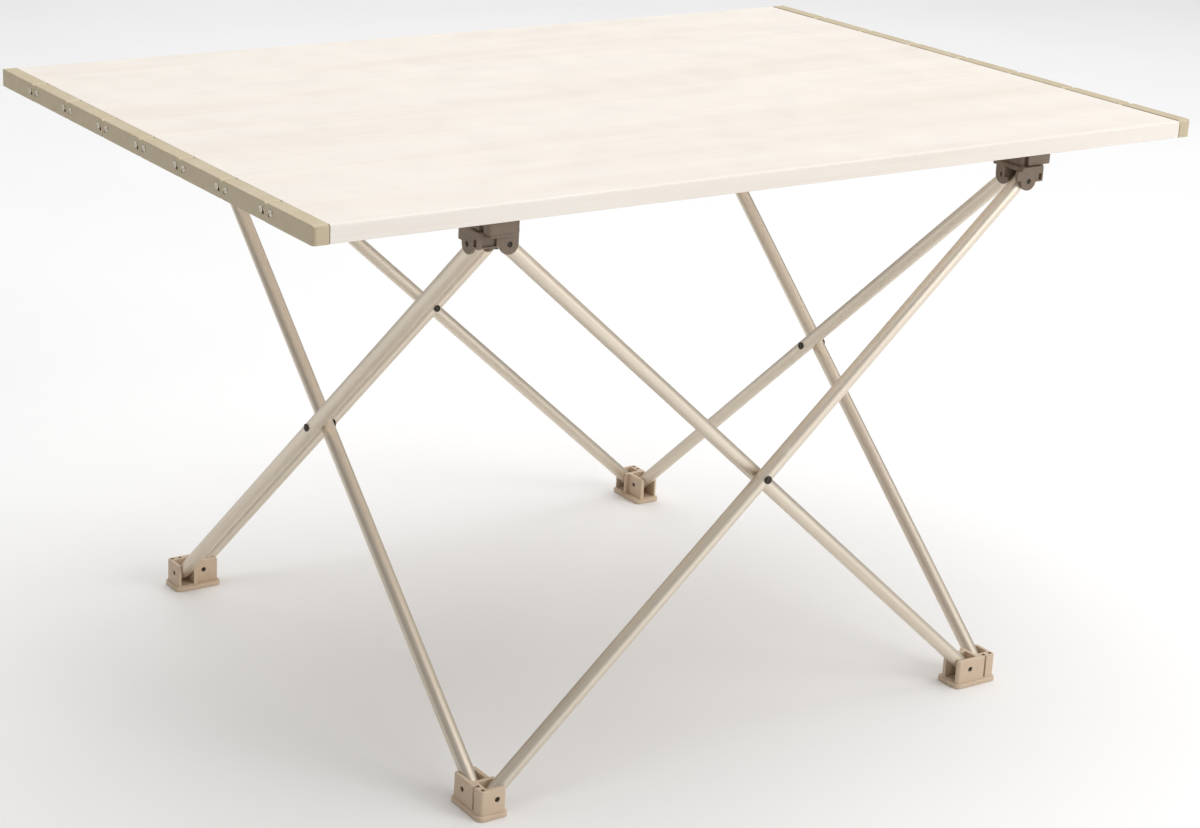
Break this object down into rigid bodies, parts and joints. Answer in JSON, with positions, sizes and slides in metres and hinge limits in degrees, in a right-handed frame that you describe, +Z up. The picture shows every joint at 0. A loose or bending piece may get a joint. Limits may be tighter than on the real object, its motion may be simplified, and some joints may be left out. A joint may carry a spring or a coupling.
{
  "type": "roll-top camp table",
  "caption": "Low folding camp kitchen table: a roll-up slat top that lifts off a square ring of scissor legs.",
  "frame": {"origin": "centre of the footprint, on the ground", "axes": "+X along the slats, +Y across them towards the rear, +Z up"},
  "size_m": [0.6862, 0.46, 0.404],
  "materials": {
    "slat_skin": "matt cream powder coat on extruded aluminium, faint long grain",
    "cap_plastic": "moulded taupe nylon, fine grain",
    "bright_metal": "bright link plates and riveted pins",
    "hub_plastic": "moulded glass-filled taupe nylon",
    "foot_plastic": "moulded khaki nylon, softly worn",
    "leg_tube": "champagne anodised tube, satin, fine draw lines",
    "dark_pin": "blackened steel pins and rivets"
  },
  "bodies": {
    "hub_front_left": {"hub_front_left": "hub_plastic", "hub_pins_front_left": "dark_pin"},
    "leg_front_inner": {"leg_front_inner": "leg_tube", "rivet_front": "dark_pin"},
    "leg_front_outer": {"leg_front_outer": "leg_tube"},
    "hub_front_right": {"hub_front_right": "hub_plastic", "hub_pins_front_right": "dark_pin"},
    "leg_right_inner": {"leg_right_inner": "leg_tube", "rivet_right": "dark_pin"},
    "leg_right_outer": {"leg_right_outer": "leg_tube"},
    "hub_rear_right": {"hub_rear_right": "hub_plastic", "hub_pins_rear_right": "dark_pin"},
    "leg_left_outer": {"leg_left_outer": "leg_tube", "rivet_left": "dark_pin"},
    "leg_left_inner": {"leg_left_inner": "leg_tube"},
    "hub_rear_left": {"hub_rear_left": "hub_plastic", "hub_pins_rear_left": "dark_pin"},
    "leg_rear_outer": {"leg_rear_outer": "leg_tube", "rivet_rear": "dark_pin"},
    "leg_rear_inner": {"leg_rear_inner": "leg_tube"},
    "foot_front_left": {"foot_front_left": "foot_plastic", "foot_pins_front_left": "dark_pin"},
    "foot_front_right": {"foot_front_right": "foot_plastic", "foot_pins_front_right": "dark_pin"},
    "foot_rear_right": {"foot_rear_right": "foot_plastic", "foot_pins_rear_right": "dark_pin"},
    "foot_rear_left": {"foot_rear_left": "foot_plastic", "foot_pins_rear_left": "dark_pin"},
    "slat_1": {"slat_1": "slat_skin", "end_caps_1": "cap_plastic", "brackets_front": "hub_plastic"},
    "seam_1": {"seam_links_1": "bright_metal", "seam_pins_1": "bright_metal"},
    "slat_2": {"slat_2": "slat_skin", "end_caps_2": "cap_plastic"},
    "seam_2": {"seam_links_2": "bright_metal", "seam_pins_2": "bright_metal"},
    "slat_3": {"slat_3": "slat_skin", "end_caps_3": "cap_plastic"},
    "seam_3": {"seam_links_3": "bright_metal", "seam_pins_3": "bright_metal"},
    "slat_4": {"slat_4": "slat_skin", "end_caps_4": "cap_plastic"},
    "seam_4": {"seam_links_4": "bright_metal", "seam_pins_4": "bright_metal"},
    "slat_5": {"slat_5": "slat_skin", "end_caps_5": "cap_plastic"},
    "seam_5": {"seam_links_5": "bright_metal", "seam_pins_5": "bright_metal"},
    "slat_6": {"slat_6": "slat_skin", "end_caps_6": "cap_plastic"},
    "seam_6": {"seam_links_6": "bright_metal", "seam_pins_6": "bright_metal"},
    "slat_7": {"slat_7": "slat_skin", "end_caps_7": "cap_plastic"},
    "seam_7": {"seam_links_7": "bright_metal", "seam_pins_7": "bright_metal"},
    "slat_8": {"slat_8": "slat_skin", "end_caps_8": "cap_plastic", "brackets_rear": "hub_plastic"}
  },
  "joints": [
    {"name": "frame_fold", "type": "hinge", "parent": "hub_front_left", "child": "leg_front_inner", "pos_m": [-0.2015, -0.2058, 0.373], "axis": [0, 1, 0], "range_deg": [0, 45]},
    {"name": "front_crossing", "type": "hinge", "parent": "leg_front_inner", "child": "leg_front_outer", "pos_m": [0, -0.211, 0.193], "axis": [0, 1, 0], "range_deg": [-90, 0]},
    {"name": "front_right_hub", "type": "hinge", "parent": "leg_front_outer", "child": "hub_front_right", "pos_m": [0.2015, -0.2162, 0.373], "axis": [0, 1, 0], "range_deg": [0, 45]},
    {"name": "right_inner_leg", "type": "hinge", "parent": "hub_front_right", "child": "leg_right_inner", "pos_m": [0.2058, -0.2015, 0.373], "axis": [-1, 0, 0], "range_deg": [0, 45]},
    {"name": "right_crossing", "type": "hinge", "parent": "leg_right_inner", "child": "leg_right_outer", "pos_m": [0.211, 0, 0.193], "axis": [-1, 0, 0], "range_deg": [-90, 0]},
    {"name": "rear_right_hub", "type": "hinge", "parent": "leg_right_outer", "child": "hub_rear_right", "pos_m": [0.2162, 0.2015, 0.373], "axis": [-1, 0, 0], "range_deg": [0, 45]},
    {"name": "left_outer_leg", "type": "hinge", "parent": "hub_front_left", "child": "leg_left_outer", "pos_m": [-0.2162, -0.2015, 0.373], "axis": [-1, 0, 0], "range_deg": [0, 45]},
    {"name": "left_crossing", "type": "hinge", "parent": "leg_left_outer", "child": "leg_left_inner", "pos_m": [-0.211, 0, 0.193], "axis": [-1, 0, 0], "range_deg": [-90, 0]},
    {"name": "rear_left_hub", "type": "hinge", "parent": "leg_left_inner", "child": "hub_rear_left", "pos_m": [-0.2058, 0.2015, 0.373], "axis": [-1, 0, 0], "range_deg": [0, 45]},
    {"name": "rear_outer_leg", "type": "hinge", "parent": "hub_rear_left", "child": "leg_rear_outer", "pos_m": [-0.2015, 0.2162, 0.373], "axis": [0, 1, 0], "range_deg": [0, 45]},
    {"name": "rear_crossing", "type": "hinge", "parent": "leg_rear_outer", "child": "leg_rear_inner", "pos_m": [0, 0.211, 0.193], "axis": [0, 1, 0], "range_deg": [-90, 0]},
    {"name": "front_left_foot", "type": "hinge", "parent": "leg_front_outer", "child": "foot_front_left", "pos_m": [-0.2015, -0.2162, 0.013], "axis": [0, 1, 0], "range_deg": [0, 45]},
    {"name": "front_right_foot", "type": "hinge", "parent": "leg_front_inner", "child": "foot_front_right", "pos_m": [0.2015, -0.2058, 0.013], "axis": [0, -1, 0], "range_deg": [0, 45]},
    {"name": "rear_left_foot", "type": "hinge", "parent": "leg_left_outer", "child": "foot_rear_left", "pos_m": [-0.2162, 0.2015, 0.013], "axis": [1, 0, 0], "range_deg": [0, 45]},
    {"name": "rear_right_foot", "type": "hinge", "parent": "leg_right_inner", "child": "foot_rear_right", "pos_m": [0.2058, 0.2015, 0.013], "axis": [1, 0, 0], "range_deg": [0, 45]},
    {"name": "top_lift", "type": "slide", "parent": "hub_front_left", "child": "slat_1", "axis": [0, 0, 1], "range_m": [0, 0.08]},
    {"name": "top_roll", "type": "hinge", "parent": "slat_1", "child": "slat_2", "pos_m": [0, -0.1725, 0.404], "axis": [1, 0, 0], "range_deg": [0, 44]},
    {"name": "seam_2_roll", "type": "hinge", "parent": "slat_2", "child": "slat_3", "pos_m": [0, -0.115, 0.404], "axis": [1, 0, 0], "range_deg": [0, 44]},
    {"name": "seam_3_roll", "type": "hinge", "parent": "slat_3", "child": "slat_4", "pos_m": [0, -0.0575, 0.404], "axis": [1, 0, 0], "range_deg": [0, 44]},
    {"name": "seam_4_roll", "type": "hinge", "parent": "slat_4", "child": "slat_5", "pos_m": [0, 0, 0.404], "axis": [1, 0, 0], "range_deg": [0, 44]},
    {"name": "seam_5_roll", "type": "hinge", "parent": "slat_5", "child": "slat_6", "pos_m": [0, 0.0575, 0.404], "axis": [1, 0, 0], "range_deg": [0, 44]},
    {"name": "seam_6_roll", "type": "hinge", "parent": "slat_6", "child": "slat_7", "pos_m": [0, 0.115, 0.404], "axis": [1, 0, 0], "range_deg": [0, 44]},
    {"name": "seam_7_roll", "type": "hinge", "parent": "slat_7", "child": "slat_8", "pos_m": [0, 0.1725, 0.404], "axis": [1, 0, 0], "range_deg": [0, 44]},
    {"name": "links_1_swing", "type": "hinge", "parent": "slat_1", "child": "seam_1", "pos_m": [0, -0.1725, 0.404], "axis": [1, 0, 0], "range_deg": [0, 22]},
    {"name": "links_2_swing", "type": "hinge", "parent": "slat_2", "child": "seam_2", "pos_m": [0, -0.115, 0.404], "axis": [1, 0, 0], "range_deg": [0, 22]},
    {"name": "links_3_swing", "type": "hinge", "parent": "slat_3", "child": "seam_3", "pos_m": [0, -0.0575, 0.404], "axis": [1, 0, 0], "range_deg": [0, 22]},
    {"name": "links_4_swing", "type": "hinge", "parent": "slat_4", "child": "seam_4", "pos_m": [0, 0, 0.404], "axis": [1, 0, 0], "range_deg": [0, 22]},
    {"name": "links_5_swing", "type": "hinge", "parent": "slat_5", "child": "seam_5", "pos_m": [0, 0.0575, 0.404], "axis": [1, 0, 0], "range_deg": [0, 22]},
    {"name": "links_6_swing", "type": "hinge", "parent": "slat_6", "child": "seam_6", "pos_m": [0, 0.115, 0.404], "axis": [1, 0, 0], "range_deg": [0, 22]},
    {"name": "links_7_swing", "type": "hinge", "parent": "slat_7", "child": "seam_7", "pos_m": [0, 0.1725, 0.404], "axis": [1, 0, 0], "range_deg": [0, 22]}
  ],
  "couplings": [
    {"joint": "front_crossing", "follows": "frame_fold", "ratio": -2},
    {"joint": "front_right_hub", "follows": "frame_fold", "ratio": 1},
    {"joint": "right_inner_leg", "follows": "frame_fold", "ratio": 1},
    {"joint": "right_crossing", "follows": "frame_fold", "ratio": -2},
    {"joint": "rear_right_hub", "follows": "frame_fold", "ratio": 1},
    {"joint": "left_outer_leg", "follows": "frame_fold", "ratio": 1},
    {"joint": "left_crossing", "follows": "frame_fold", "ratio": -2},
    {"joint": "rear_left_hub", "follows": "frame_fold", "ratio": 1},
    {"joint": "rear_outer_leg", "follows": "frame_fold", "ratio": 1},
    {"joint": "rear_crossing", "follows": "frame_fold", "ratio": -2},
    {"joint": "front_left_foot", "follows": "frame_fold", "ratio": 1},
    {"joint": "front_right_foot", "follows": "frame_fold", "ratio": 1},
    {"joint": "rear_left_foot", "follows": "frame_fold", "ratio": 1},
    {"joint": "rear_right_foot", "follows": "frame_fold", "ratio": 1},
    {"joint": "seam_2_roll", "follows": "top_roll", "ratio": 1},
    {"joint": "seam_3_roll", "follows": "top_roll", "ratio": 1},
    {"joint": "seam_4_roll", "follows": "top_roll", "ratio": 1},
    {"joint": "seam_5_roll", "follows": "top_roll", "ratio": 1},
    {"joint": "seam_6_roll", "follows": "top_roll", "ratio": 1},
    {"joint": "seam_7_roll", "follows": "top_roll", "ratio": 1},
    {"joint": "links_1_swing", "follows": "top_roll", "ratio": 0.5},
    {"joint": "links_2_swing", "follows": "top_roll", "ratio": 0.5},
    {"joint": "links_3_swing", "follows": "top_roll", "ratio": 0.5},
    {"joint": "links_4_swing", "follows": "top_roll", "ratio": 0.5},
    {"joint": "links_5_swing", "follows": "top_roll", "ratio": 0.5},
    {"joint": "links_6_swing", "follows": "top_roll", "ratio": 0.5},
    {"joint": "links_7_swing", "follows": "top_roll", "ratio": 0.5}
  ]
}
